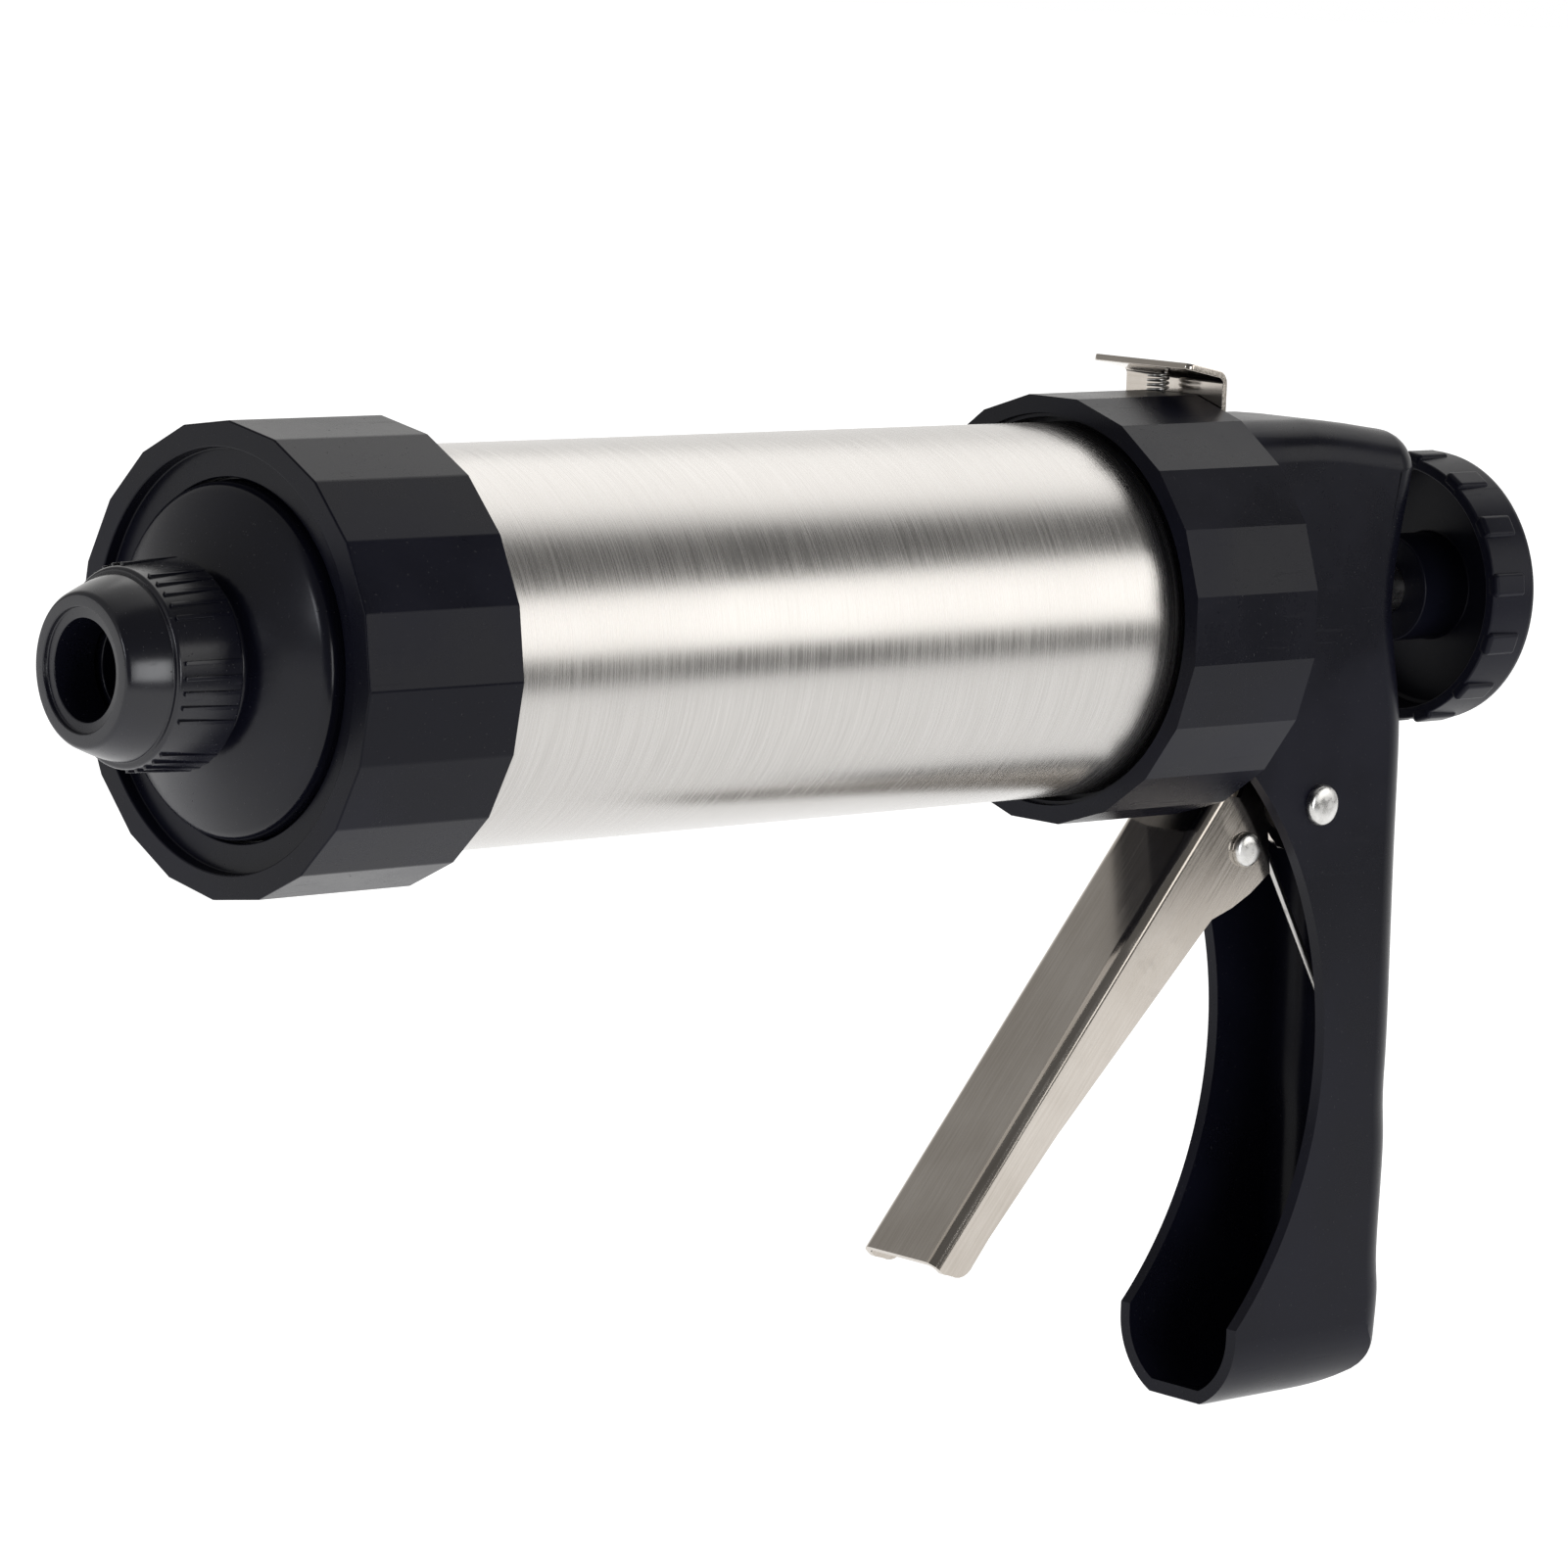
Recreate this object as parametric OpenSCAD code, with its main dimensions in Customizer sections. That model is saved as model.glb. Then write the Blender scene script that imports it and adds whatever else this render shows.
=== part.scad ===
// Trigger-operated dough and icing press.
// The barrel axis is X, with the nozzle toward -X and the knob toward +X.
// Z is up. The origin is on the barrel axis, at the front face of the front ring.

/* [Barrel] */
// Outside diameter of the barrel tube
barrel_od = 56.3; // [45:0.1:70]
// Wall thickness of the barrel tube
barrel_wall = 0.8; // [0.5:0.1:2]
// Front end of the barrel tube
barrel_front_x = 7; // [6:0.1:10]
// Distance from the front ring's face to the rear collar's face
collar_x = 154.3; // [110:0.1:200]

/* [Front ring] */
// Number of flats round the ring and the collar
flat_count = 20; // [12:1:30]
// Size of the front ring across its flats
ring_flats = 64.2; // [60:0.1:80]
// Length of the front ring
ring_length = 26.1; // [18:0.1:36]
// How far the ring is turned on its thread
ring_turn = 9.8; // [0:0.1:18]
// Radius of the stepped recess in the ring's face
ring_recess_r = 28.7; // [26:0.1:31]
// Depth of the stepped recess
ring_recess_depth = 1.9; // [1:0.1:4]
// Thickness of the lip that holds the cone plate
ring_lip = 2; // [1:0.1:4]
// Radius of the hole through the lip
ring_hole_r = 24.6; // [20:0.1:26]
// Radial clearance of the ring on the barrel
thread_clearance = 0.08; // [0.02:0.01:0.3]

/* [Cone plate and nozzle] */
// Radius of the dome where it passes the ring
dome_r = 24.15; // [20:0.05:24.5]
// Front edge of the dome's side wall
dome_rim_x = 1.1; // [0:0.1:3]
// How far the dome rises forward of its rim
dome_rise = 5.3; // [3:0.1:9]
// Radius of the neck behind the nozzle nut
neck_r = 12.3; // [11:0.1:14]
// Radius of the neck's threaded part
neck_thread_r = 10.2; // [8.5:0.1:11]
// Thickness of the cone plate's flange
plate_flange = 1.7; // [1:0.1:3]
// Bore of the neck
neck_bore_r = 6.5; // [4:0.1:8]
// Front face of the nozzle nut
nozzle_front_x = -22.9; // [-30:0.1:-20]
// Rear face of the nozzle nut
nozzle_rear_x = -6.6; // [-8:0.1:-6]
// Radius of the outlet hole
outlet_r = 6.9; // [3:0.1:8]
// Radius of the shallow recess round the outlet
outlet_recess_r = 8.4; // [7.2:0.1:9.5]
// Radius of the nose at its front
nose_front_r = 10.6; // [10:0.1:12]
// Radius of the nozzle nut's grip at its front
grip_front_r = 13.5; // [13:0.1:15]
// Radius of the nozzle nut's grip at its rear
grip_rear_r = 14.3; // [13.5:0.1:16]
// Length of the nozzle nut's grip
grip_length = 10.2; // [6:0.1:13]
// Number of groups of grip ribs
rib_groups = 6; // [3:1:9]
// Ribs in each group
ribs_per_group = 5; // [2:1:6]
// Height of a grip rib
rib_height = 0.25; // [0.1:0.05:0.8]

/* [Handle] */
// Size of the rear collar across its flats
collar_flats = 64.3; // [60:0.1:80]
// Length of the rear collar
collar_length = 25.5; // [18:0.1:36]
// Thickness of the wall that closes the collar
collar_back = 3; // [2:0.1:5]
// Width of the handle shell
shell_width = 25.2; // [22:0.1:32]
// Wall thickness of the handle shell
shell_wall = 2; // [1.5:0.1:3]
// Height of the handle's top above the barrel axis
shell_top = 28.2; // [24:0.1:31]
// Distance from the axis down to the bottom of the grip
grip_drop = 127.6; // [105:0.1:150]
// Depth of the handle from the collar to its back
shell_depth = 45.6; // [42:0.1:55]
// Rounding of the shell's rear corners and shoulders
corner_round = 6.2; // [3:0.1:9]
// Radius of the hollow cut for the fingers
finger_r = 62.5; // [50:0.1:80]
// Distance of the toe's front face behind the collar
toe_x = 10.8; // [6:0.1:16]

/* [Trigger] */
// Pivot position behind the collar
pivot_x = 24; // [20:0.1:28]
// Pivot position below the axis
pivot_drop = 31.4; // [28:0.1:36]
// Radius of the pivot rivet
pivot_r = 2; // [1.5:0.1:3]
// Radial clearance of the trigger and pawl on their pins
pin_clearance = 0.05; // [0.01:0.01:0.1]
// Slope of the trigger at rest
trigger_angle = 49.8; // [40:0.1:60]
// Length of the trigger's front plate
trigger_length = 88; // [70:0.1:100]
// Outside width of the trigger
trigger_width = 16; // [13:0.1:19]
// Thickness of the trigger's sheet
sheet = 1; // [0.6:0.1:1.6]
// Depth of the trigger's side flanges at its tip
flange_tip = 7.2; // [5:0.1:10]
// Depth of the trigger's side flanges near the pivot
flange_root = 12.2; // [9:0.1:14]

/* [Rod and plunger] */
// Radius of the push rod
rod_r = 4; // [3:0.1:5]
// Rear end of the push rod
rod_rear_x = 238; // [225:0.5:250]
// Pitch of the rod's teeth
tooth_pitch = 5; // [3:0.1:8]
// Depth of the rod's teeth
tooth_depth = 1.5; // [0.8:0.1:2]
// Number of teeth
tooth_count = 38; // [20:1:44]
// Radius of the plunger plate
plunger_r = 26.2; // [20:0.1:27]
// Radial gap round the plunger's seal
seal_gap = 0.25; // [0.1:0.01:1]
// Clearance of the rod in its bushes
bush_clearance = 0.08; // [0.02:0.01:0.3]

/* [Knob] */
// Radius of the knob
knob_r = 21; // [15:0.1:28]
// Depth of the knob's cup
knob_depth = 10.2; // [7:0.1:20]
// Number of grip pads round the knob
pad_count = 14; // [8:1:24]
// Height of a grip pad
pad_height = 0.7; // [0.2:0.1:1.5]

/* [Release catch] */
// Width of the catch plate
catch_width = 20.6; // [14:0.1:22]
// Thickness of the catch plate
catch_sheet = 1; // [0.6:0.1:1.6]
// Top of the catch plate above the axis
catch_top = 36.3; // [34:0.1:42]
// Length of the thumb tab
tab_length = 8; // [5:0.1:14]
// Upward slope of the thumb tab
tab_slope = 11; // [0:0.5:20]
// How far the catch can be pressed
catch_travel = 1.3; // [0.8:0.1:2]
// Gap between the catch or the pawl and the rod's teeth
tooth_gap = 0.3; // [0.1:0.05:1]

/* [Hidden] */

black_plastic = [0.05, 0.05, 0.055];
black_rubber = [0.03, 0.03, 0.03];
stainless = [0.72, 0.70, 0.67];
bright_steel = [0.80, 0.80, 0.80];

barrel_r = barrel_od / 2;
barrel_bore_r = barrel_r - barrel_wall;
lip_back_x = ring_recess_depth + ring_lip;
plate_x = lip_back_x + 0.1;
gasket = barrel_front_x - plate_x - plate_flange;
collar_end_x = collar_x + collar_length;
collar_wall_x = collar_end_x - collar_back;
half_width = shell_width / 2;
back_x = collar_end_x + shell_depth;
pivot = [collar_end_x + pivot_x, -pivot_drop];
trigger_foot = pivot - rotate_2d([97.9, -15.2], trigger_angle);
stop_pin = trigger_foot + rotate_2d([85.2, -10.7], trigger_angle);
pawl_pivot = trigger_foot + rotate_2d([109.4, -4.6], trigger_angle);
rod_front_x = 9.5;
tooth_crest = rod_r - 0.6;
knob_x = rod_rear_x - 5.8;
catch_x = collar_end_x + 0.3;
window_top = rod_r + catch_travel + 0.6;

// ---- helpers ----

function rotate_2d(p, a) = [p[0] * cos(a) - p[1] * sin(a), p[0] * sin(a) + p[1] * cos(a)];

// Turns a profile drawn as [radius, x] round the barrel axis.
module turned() {
    rotate([0, 90, 0]) rotate_extrude($fn = 120) children();
}

// Extrudes an outline drawn as [y, z] along X, from x0.
module along_x(x0, length) {
    translate([x0, 0, 0]) rotate([90, 0, 90]) linear_extrude(length) children();
}

// Extrudes an outline drawn as [x, z] to both sides of the middle plane.
module across(width, y = 0) {
    translate([0, y + width / 2, 0]) rotate([90, 0, 0]) linear_extrude(width) children();
}

module rod_along_x(x0, length, r) {
    translate([x0, 0, 0]) rotate([0, 90, 0]) cylinder(h = length, r = r, $fn = 64);
}

module pin_across(at, length, r, y = 0) {
    translate([at[0], y, at[1]]) rotate([90, 0, 0]) cylinder(h = length, r = r, center = true, $fn = 48);
}

// Outline of a regular polygon with a flat at the top.
module faceted_outline(flats, turn = 0) {
    step = 360 / flat_count;
    corner_r = flats / 2 / cos(step / 2);
    polygon([for (k = [0 : flat_count - 1])
        corner_r * [-sin(step * (k + 0.5) + turn), cos(step * (k + 0.5) + turn)]]);
}

// A round wire that follows a helix about Z, starting at z = 0.
module helix_wire(mean_r, wire_r, pitch, turns) {
    around = 8;
    steps = round(turns * 20);
    lead = atan(pitch / (2 * PI * mean_r));
    points = [for (i = [0 : steps]) for (j = [0 : around - 1])
        let (a = 360 * turns * i / steps,
             b = 360 * j / around,
             out = wire_r * cos(b),
             up = wire_r * sin(b),
             r = mean_r + out)
        [r * cos(a) + up * sin(lead) * sin(a),
         r * sin(a) - up * sin(lead) * cos(a),
         pitch * turns * i / steps + up * cos(lead)]];
    sides = [for (i = [0 : steps - 1]) for (j = [0 : around - 1])
        let (n = (j + 1) % around)
        [i * around + j, i * around + n, (i + 1) * around + n, (i + 1) * around + j]];
    start_cap = [[for (j = [around - 1 : -1 : 0]) j]];
    end_cap = [[for (j = [0 : around - 1]) steps * around + j]];
    polyhedron(points, concat(sides, start_cap, end_cap), convexity = 10);
}

// A straight piece of wire between two points of the [x, z] plane, at the given y.
module wire_leg(from, to, y, wire_r) {
    run = to - from;
    length = norm(run);
    slope = atan2(run[1], run[0]);
    translate([from[0], y, from[1]]) rotate([0, 90 - slope, 0]) cylinder(h = length, r = wire_r, $fn = 12);
}

// ---- nozzle end ----

module nozzle_nut() {
    grip_x = nozzle_rear_x - grip_length;
    rib_pitch = 8.5;
    rib_turn = 98.4;
    color(black_plastic) difference() {
        union() {
            turned() polygon([
                [outlet_r, nozzle_front_x],
                [nose_front_r - 0.8, nozzle_front_x],
                [nose_front_r - 0.2, nozzle_front_x + 0.3],
                [nose_front_r + 0.2, nozzle_front_x + 1],
                [nose_front_r + 1.2, nozzle_front_x + 3.2],
                [nose_front_r + 1.8, nozzle_front_x + 4.9],
                [nose_front_r + 2, grip_x],
                [grip_front_r - 0.3, grip_x],
                [grip_front_r, grip_x + 0.3],
                [grip_rear_r, nozzle_rear_x - 0.4],
                [grip_rear_r - 0.4, nozzle_rear_x],
                [outlet_r, nozzle_rear_x]
            ]);
            for (g = [0 : rib_groups - 1]) for (k = [0 : ribs_per_group - 1])
                rotate([rib_turn + 360 / rib_groups * g + rib_pitch * (k - (ribs_per_group - 1) / 2), 0, 0])
                    translate([grip_x + 1.2, -0.3, grip_front_r - 1])
                        cube([grip_length - 2, 0.6, 1.45 + rib_height]);
        }
        rod_along_x(nozzle_front_x - 1, 30, outlet_r);
        rod_along_x(nozzle_front_x - 1, 1.7, outlet_recess_r);
        rod_along_x(nozzle_rear_x - 9, 10, neck_thread_r + thread_clearance);
    }
}

module cone_plate() {
    neck_x = nozzle_rear_x + 0.3;
    dome_foot_r = neck_r + 1.7;
    inner_r = dome_r - 2.6;
    rim_round = 1.35;
    color(black_plastic) turned() polygon(concat(
        [[neck_bore_r, neck_x - 8.4], [neck_thread_r - 0.5, neck_x - 8.4], [neck_thread_r, neck_x - 7.9],
         [neck_thread_r, neck_x], [neck_r, neck_x], [neck_r, dome_rim_x - dome_rise - 0.8]],
        [[dome_foot_r, dome_rim_x - dome_rise]],
        [for (t = [0 : 15 : 90]) [dome_r - rim_round * (1 - sin(t)), dome_rim_x - 1.25 * rim_round * cos(t)]],
        [[dome_r, plate_x], [barrel_r - 0.25, plate_x], [barrel_r - 0.25, plate_x + plate_flange],
         [inner_r, plate_x + plate_flange], [inner_r, dome_rim_x + 1.2], [inner_r - 4, dome_rim_x - dome_rise + 3.6],
         [neck_bore_r, dome_rim_x - dome_rise + 1.4]]
    ));
}

module front_ring() {
    color(black_plastic) difference() {
        along_x(0, ring_length) faceted_outline(ring_flats, ring_turn);
        rod_along_x(-1, 1 + ring_recess_depth, ring_recess_r);
        rod_along_x(-1, ring_length, ring_hole_r);
        rod_along_x(lip_back_x, ring_length, barrel_r + thread_clearance);
        rod_along_x(ring_length - 2, 3, barrel_r + 0.7);
    }
}

module plate_gasket() {
    color(black_rubber) difference() {
        rod_along_x(barrel_front_x - gasket, gasket, barrel_r - 0.25);
        rod_along_x(barrel_front_x - gasket - 1, gasket + 2, barrel_r - 3);
    }
}

module barrel() {
    color(stainless) difference() {
        rod_along_x(barrel_front_x, collar_wall_x - barrel_front_x, barrel_r);
        rod_along_x(barrel_front_x - 1, collar_wall_x - barrel_front_x + 2, barrel_bore_r);
    }
}

// ---- handle ----

// Side view of the handle shell, drawn in by the given wall thickness.
module side_outline(inset = 0) {
    offset(r = 5, $fn = 40) offset(delta = -5 - inset) polygon([
        [collar_wall_x - 12, shell_top],
        [back_x - 25, shell_top],
        [back_x - 14, shell_top - 1],
        [back_x - 7, shell_top - 1.9],
        [back_x - 0.8, shell_top - 3],
        [back_x - 1.8, 16],
        [back_x - 3.6, -1],
        [back_x - 1, -15],
        [back_x - 0.3, -22],
        [back_x + 0.3, -75],
        [back_x + 0.9, 16 - grip_drop],
        [back_x + 0.6, 2.9 - grip_drop],
        [back_x - 13, 0.2 - grip_drop],
        [back_x - 20, -grip_drop - 0.6],
        [collar_wall_x - 12, -grip_drop - 0.6]
    ]);
}

// Rear view of the handle shell: rounded shoulders and a half-round toe.
module end_outline(inset = 0) {
    r = half_width - inset;
    shoulder = corner_round - inset;
    toe_z = half_width - grip_drop;
    top = shell_top - inset;
    union() {
        translate([0, toe_z]) circle(r = r, $fn = 64);
        translate([-r, toe_z]) square([2 * r, top - shoulder - toe_z]);
        translate([shoulder - r, top - 2 * shoulder]) square([2 * (r - shoulder), 2 * shoulder]);
        for (s = [-1, 1]) translate([s * (r - shoulder), top - shoulder]) circle(r = shoulder, $fn = 48);
    }
}

// Plan view of the handle shell: both rear corners rounded.
module plan_outline(inset = 0) {
    r = corner_round - inset;
    w = half_width - inset;
    x1 = back_x + 0.4 - inset;
    union() {
        translate([collar_end_x - 5, -w]) square([x1 - r - collar_end_x + 5, 2 * w]);
        translate([collar_end_x - 5, r - w]) square([x1 - collar_end_x + 5, 2 * (w - r)]);
        for (s = [-1, 1]) translate([x1 - r, s * (w - r)]) circle(r = r, $fn = 48);
    }
}

module shell_block(inset = 0) {
    x0 = collar_end_x - (inset > 0 ? 0 : 1);
    intersection() {
        across(shell_width + 10) intersection() {
            side_outline(inset);
            translate([x0, -grip_drop - 10]) square([shell_depth + 10, grip_drop + shell_top + 20]);
        }
        along_x(x0, shell_depth + 10) end_outline(inset);
        translate([0, 0, -grip_drop - 5]) linear_extrude(grip_drop + shell_top + 10) plan_outline(inset);
    }
}

module handle_body() {
    color(black_plastic) difference() {
        union() {
            along_x(collar_x, collar_length) faceted_outline(collar_flats);
            difference() {
                shell_block();
                // hollow for the fingers, and the toe's front face
                pin_across([collar_end_x - 34.8, -70.5], shell_width + 4, finger_r);
                across(shell_width + 4) translate([collar_wall_x, -grip_drop - 5])
                    square([toe_x + collar_back, grip_drop - 60]);
            }
        }
        // seat for the barrel, with the grooved lip round its mouth
        rod_along_x(collar_x - 1, collar_length - collar_back + 1, barrel_r + 0.05);
        rod_along_x(collar_x - 1, 5, barrel_r + 1);
        rod_along_x(collar_x - 1, 1.6, barrel_r + 1.9);
        // hollow of the shell, with a boss left in it for the rear bush
        difference() {
            shell_block(shell_wall);
            rod_along_x(back_x - 9, 8, rod_r + 5);
        }
        // ways through for the rod and its bushes, the catch and the pivot
        rod_along_x(collar_wall_x - 1, collar_back + 2, rod_r + 2);
        rod_along_x(back_x - 12, 14, rod_r + 2);
        translate([collar_end_x, -catch_width / 2 - 0.3, shell_top - 8])
            cube([catch_sheet + 0.6, catch_width + 0.6, 12]);
        pin_across(pivot, shell_width + 4, pivot_r);
    }
}

// ---- rod and plunger ----

module plunger_plate() {
    color(black_plastic) difference() {
        turned() polygon([
            [rod_r - 1, 14.5], [plunger_r - 1, 14.5], [plunger_r, 15.5], [plunger_r, 17],
            [rod_r + 5, 18], [rod_r + 5, 24], [rod_r - 1, 24]
        ]);
        rod_along_x(13, 12, rod_r);
    }
}

module plunger_seal() {
    color(black_rubber) difference() {
        turned() polygon([
            [rod_r, 12.8], [plunger_r - 2, 12.8], [barrel_bore_r - seal_gap, 11.2],
            [barrel_bore_r - seal_gap, 13], [plunger_r - 1.2, 14.5], [rod_r, 14.5]
        ]);
        rod_along_x(12, 3, rod_r);
    }
}

module plunger_nut() {
    color(stainless) difference() {
        translate([rod_front_x, 0, 0]) rotate([0, 90, 0]) cylinder(h = 12.8 - rod_front_x, r = 7.5, $fn = 6);
        rod_along_x(rod_front_x - 1, 5, rod_r - 1);
    }
}

module push_rod() {
    color(bright_steel) difference() {
        union() {
            rod_along_x(12.8, rod_rear_x - 12.8, rod_r);
            rod_along_x(rod_front_x, 4, rod_r - 1);
        }
        // flat along the underside, with the rack cut into it
        translate([24, -rod_r, -rod_r - 1]) cube([tooth_count * tooth_pitch, 2 * rod_r, rod_r + 1 - tooth_crest]);
        across(2 * rod_r + 2) for (k = [0 : tooth_count - 1]) translate([24 + k * tooth_pitch, -tooth_crest])
            polygon([[0.6, -1], [0.6, tooth_depth], [1.4, tooth_depth], [tooth_pitch - 0.3, 0], [tooth_pitch - 0.3, -1]]);
        rod_along_x(rod_rear_x - 9, 10, 1.6);
    }
}

module guide_bush(x0, length) {
    color(bright_steel) difference() {
        rod_along_x(x0, length, rod_r + 2);
        rod_along_x(x0 - 1, length + 2, rod_r + bush_clearance);
    }
}

module front_bush() {
    guide_bush(collar_wall_x, collar_back);
}

module rear_bush() {
    guide_bush(back_x - 9, 5.6);
}

// ---- knob ----

module knob() {
    rear_x = knob_x + knob_depth;
    color(black_plastic) difference() {
        union() {
            turned() polygon([
                [rod_r - 1, knob_x - 2], [rod_r + 4.5, knob_x - 2], [rod_r + 4.5, rear_x - 2],
                [knob_r - 1.8, rear_x - 2], [knob_r - 1.8, knob_x], [knob_r, knob_x],
                [knob_r + 0.4, rear_x - 1.4], [knob_r, rear_x - 0.5], [knob_r - 0.9, rear_x], [rod_r - 1, rear_x]
            ]);
            for (k = [0 : pad_count - 1]) rotate([360 / pad_count * (k + 0.25), 0, 0])
                translate([knob_x, -1.8, knob_r - 1]) cube([knob_depth * 0.65, 3.6, 1 + pad_height]);
        }
        rod_along_x(knob_x - 3, rod_rear_x - knob_x + 3, rod_r);
        rod_along_x(knob_x, knob_depth + 2, 1.6);
        rod_along_x(rear_x - 2.2, 3, 3.2);
    }
}

module knob_screw() {
    head_x = knob_x + knob_depth - 2.2;
    color(bright_steel) difference() {
        union() {
            rod_along_x(rod_rear_x - 8, head_x - rod_rear_x + 9, 1.6);
            rod_along_x(head_x, 1.8, 3);
        }
        for (a = [0, 90]) rotate([a, 0, 0]) translate([head_x + 0.9, -0.4, -2.2]) cube([2, 0.8, 4.4]);
    }
}

// ---- release catch ----

module catch_plate() {
    web_bottom = -rod_r - 6;
    bend_r = 1.6;
    color(stainless) difference() {
        union() {
            translate([catch_x, -catch_width / 2, web_bottom])
                cube([catch_sheet, catch_width, catch_top - bend_r - web_bottom]);
            across(catch_width) union() {
                translate([catch_x + catch_sheet - bend_r - 0.4, catch_top - bend_r - 0.4]) difference() {
                    circle(r = bend_r + 0.4, $fn = 48);
                    circle(r = bend_r + 0.4 - catch_sheet, $fn = 48);
                    translate([-5, -5]) square([5, 10]);
                    translate([-5, -5]) square([10, 4.7]);
                }
                translate([catch_x + catch_sheet - bend_r - 0.4, catch_top]) rotate(-tab_slope)
                    translate([-tab_length + 1.5, -catch_sheet]) square([tab_length - 1.4, catch_sheet]);
            }
        }
        translate([catch_x - 1, -rod_r - 0.6, -tooth_crest - tooth_gap])
            cube([catch_sheet + 2, 2 * rod_r + 1.2, window_top + tooth_crest + tooth_gap]);
    }
}

module catch_spring() {
    wire = 0.2;
    mean_r = 1.6;
    turns = 4;
    spring_x = catch_x - 3.5;
    floor_z = collar_flats / 2;
    rear_x = spring_x + mean_r + wire;
    top_z = catch_top - catch_sheet / cos(tab_slope) + (catch_x - 1 - rear_x) * tan(tab_slope) - 0.1;
    color(stainless) translate([spring_x, 0, floor_z + wire])
        helix_wire(mean_r, wire, (top_z - floor_z - 2 * wire) / turns, turns);
}

// ---- trigger ----

// Side view of the trigger, in its own frame: x along the front plate, -y into the handle.
module trigger_side() {
    hub = [97.9, -15.2];
    ear = [109.4, -4.6];
    union() {
        polygon([
            [0.3, 0], [0.3, -3.2], [0.8, -5], [2.1, -6.4], [4.5, -flange_tip],
            [69.5, -flange_root], [73, -flange_root - 0.3], [77, -flange_root - 2.8],
            [81, -flange_root - 4.8], [86, -flange_root - 6.6], [97.9, -23.2], [trigger_length + 4, -10],
            [trigger_length, 0]
        ]);
        hull() {
            translate(hub) circle(r = 8, $fn = 64);
            translate([86, -16]) circle(r = 3, $fn = 32);
        }
        hull() {
            translate(hub) circle(r = 7, $fn = 64);
            translate(ear) circle(r = 4, $fn = 48);
        }
    }
}

module trigger_lever() {
    inner = trigger_width / 2 - sheet;
    bend = 2;
    color(stainless) difference() {
        intersection() {
            translate([trigger_foot[0], 0, trigger_foot[1]]) rotate([0, -trigger_angle, 0])
                across(trigger_width) trigger_side();
            translate([trigger_foot[0], 0, trigger_foot[1]]) rotate([0, -trigger_angle, 0])
                along_x(-1, 125) difference() {
                    union() {
                        translate([-trigger_width / 2, -40]) square([trigger_width, 40 - bend]);
                        translate([bend - trigger_width / 2, -bend - 1]) square([trigger_width - 2 * bend, bend + 1]);
                        for (s = [-1, 1]) translate([s * (trigger_width / 2 - bend), -bend]) circle(r = bend, $fn = 48);
                    }
                    translate([-inner, -41]) square([2 * inner, 41 - bend]);
                    translate([bend - sheet - inner, -bend - 1])
                        square([2 * (inner - bend + sheet), bend + 1 - sheet]);
                    for (s = [-1, 1]) translate([s * (trigger_width / 2 - bend), -bend])
                        circle(r = bend - sheet, $fn = 48);
                }
        }
        // open above the front plate, so that the ears clear the rod
        translate([trigger_foot[0], 0, trigger_foot[1]]) rotate([0, -trigger_angle, 0])
            translate([trigger_length, -inner, -30]) cube([40, 2 * inner, 40]);
        pin_across(pivot, trigger_width + 4, pivot_r + pin_clearance);
        pin_across(stop_pin, trigger_width + 4, 1.6);
        pin_across(pawl_pivot, trigger_width + 4, 1.5);
    }
}

// A rivet across the handle or the trigger, with a low domed head at each end.
module rivet(at, grip, shank_r, head_r, head_h) {
    translate([at[0], 0, at[1]]) rotate([90, 0, 0]) {
        cylinder(h = grip, r = shank_r, center = true, $fn = 48);
        for (s = [0, 1]) mirror([0, 0, s]) translate([0, 0, grip / 2]) rotate_extrude($fn = 64) polygon([
            [0, -0.5], [shank_r, -0.5], [shank_r, 0], [head_r, 0], [head_r, head_h * 0.55],
            [head_r - 0.35, head_h * 0.85], [head_r - 1.2, head_h], [0, head_h]
        ]);
    }
}

module pivot_rivet() {
    color(bright_steel) rivet(pivot, shell_width, pivot_r, 3.2, 1.5);
}

module stop_rivet() {
    color(bright_steel) rivet(stop_pin, trigger_width, 1.6, 2.7, 1.4);
}

module pivot_washers() {
    washer = half_width - shell_wall - trigger_width / 2 - 0.1;
    color(bright_steel) difference() {
        for (s = [-1, 1]) pin_across(pivot, washer, 5, s * (half_width - shell_wall - washer / 2));
        pin_across(pivot, shell_width, pivot_r);
    }
}

module return_spring() {
    wire = 0.6;
    mean_r = 3.3;
    pitch = 1.35;
    rear_slope = -59.6;
    rear_dir = rotate_2d([1, 0], rear_slope);
    rear_start = pivot + mean_r * rotate_2d(rear_dir, -90);
    rear_end = rear_start + rear_dir * (back_x - shell_wall - wire - 0.6 - rear_start[0]) / rear_dir[0];
    // the front leg passes just under the stop rivet
    run = stop_pin - pivot;
    front_slope = atan2(run[1], run[0]) - asin((mean_r - 1.6 - wire - 0.05) / norm(run));
    front_dir = rotate_2d([1, 0], front_slope);
    front_start = pivot + mean_r * rotate_2d(front_dir, 90);
    swept = rear_slope - front_slope - 180;
    turns = 3 + (swept - 360 * floor(swept / 360)) / 360;
    color(stainless) union() {
        translate([pivot[0], 0, pivot[1]]) rotate([-90, 90 - rear_slope, 0])
            helix_wire(mean_r, wire, pitch, turns);
        wire_leg(rear_start, rear_end, 0, wire);
        wire_leg(front_start, front_start + front_dir * (norm(run) + 3), pitch * turns, wire);
    }
}

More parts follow.
